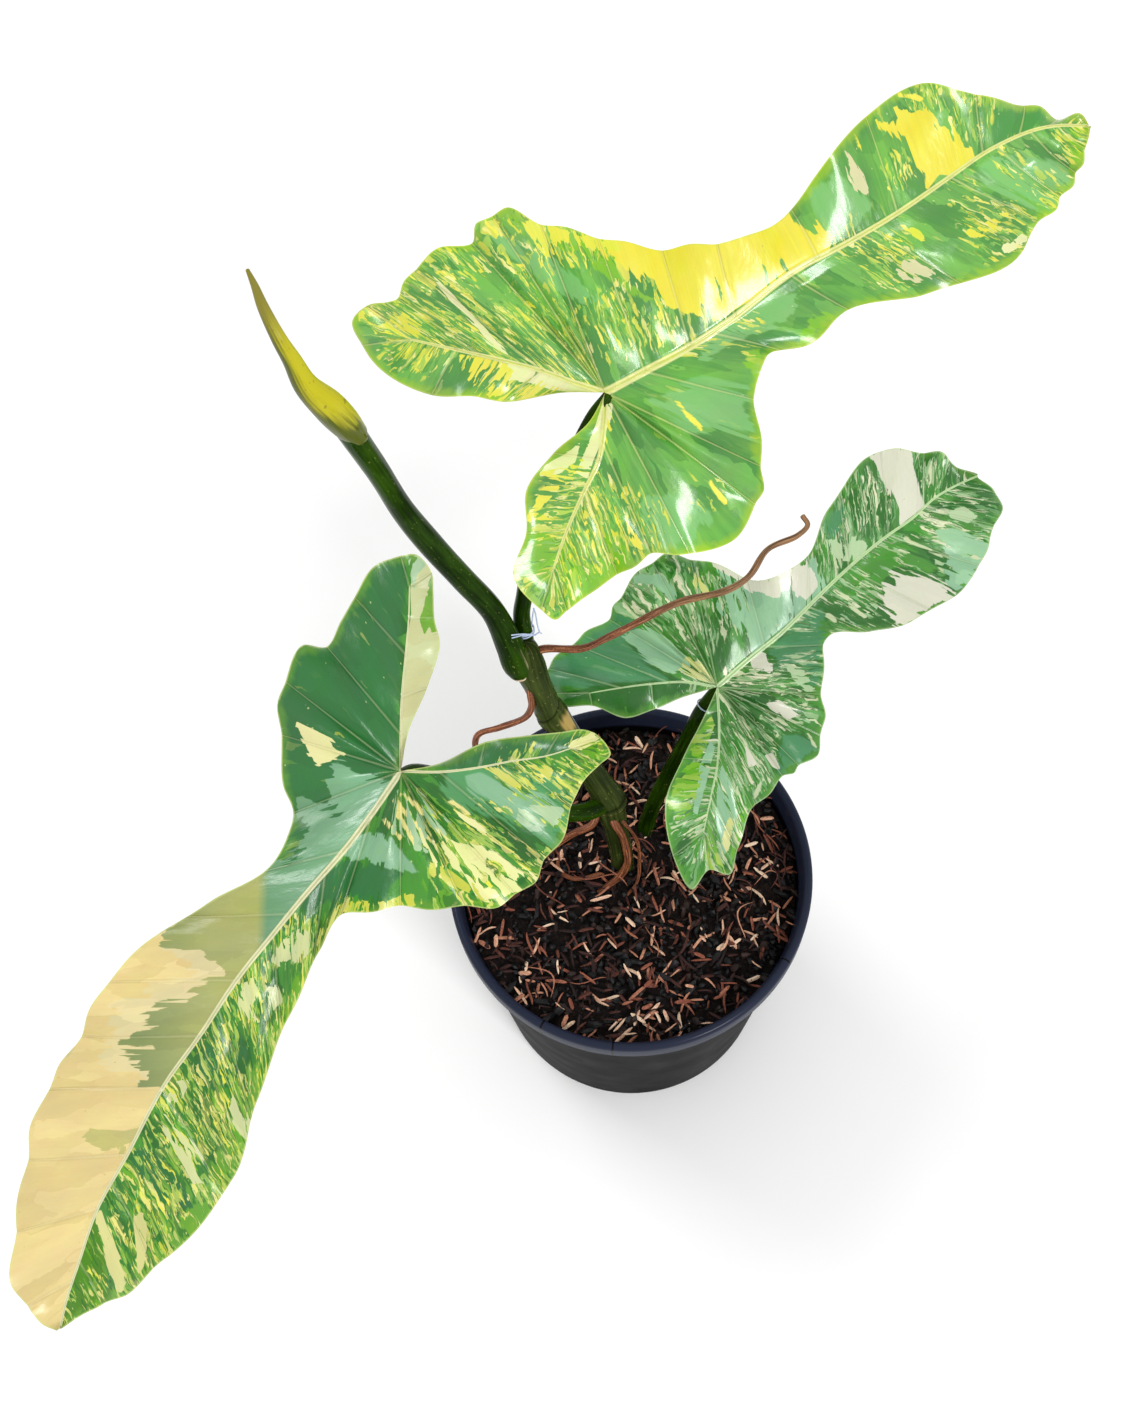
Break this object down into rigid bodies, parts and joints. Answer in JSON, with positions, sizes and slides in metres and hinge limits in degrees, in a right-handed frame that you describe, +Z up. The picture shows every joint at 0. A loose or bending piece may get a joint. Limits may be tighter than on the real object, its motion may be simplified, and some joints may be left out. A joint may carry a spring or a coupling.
{
  "type": "potted variegated philodendron",
  "caption": "Climbing house plant with large violin-shaped marbled leaves on long petioles, air roots and a rolled new leaf, in a plain round nursery pot of chunky bark mix.",
  "frame": {"origin": "middle of the pot's flat base, on the surface it stands on", "axes": "+Z up along the pot's axis; +Y away from the pictured side; +X to its right"},
  "size_m": [0.5105, 0.4468, 0.5816],
  "materials": {
    "pot_plastic": "black moulded nursery pot plastic, half gloss",
    "potting_mix": "charcoal, bark and husk chips, matte and dry",
    "green_stem": "waxy olive green stem and petiole skin",
    "leaf_blade": "glossy waxy leaf, marbled green, yellow and cream",
    "rolled_leaf": "waxy rolled new leaf, yellow and olive",
    "air_root": "red-brown root skin, matte",
    "tie_wire": "thin pale coated wire"
  },
  "bodies": {
    "root": {"pot": "pot_plastic", "potting_mix": "potting_mix", "stem": "green_stem", "upper_petiole": "green_stem", "front_petiole": "green_stem", "lower_petiole": "green_stem", "newest_petiole": "green_stem", "rolled_leaf": "rolled_leaf", "upper_leaf": "leaf_blade", "front_leaf": "leaf_blade", "lower_leaf": "leaf_blade", "long_air_root": "air_root", "hanging_air_root": "air_root", "side_air_root": "air_root", "front_air_root": "air_root", "thin_air_root": "air_root", "soil_root": "air_root", "wire_tie": "tie_wire", "petiole_ring": "tie_wire"}
  },
  "joints": []
}
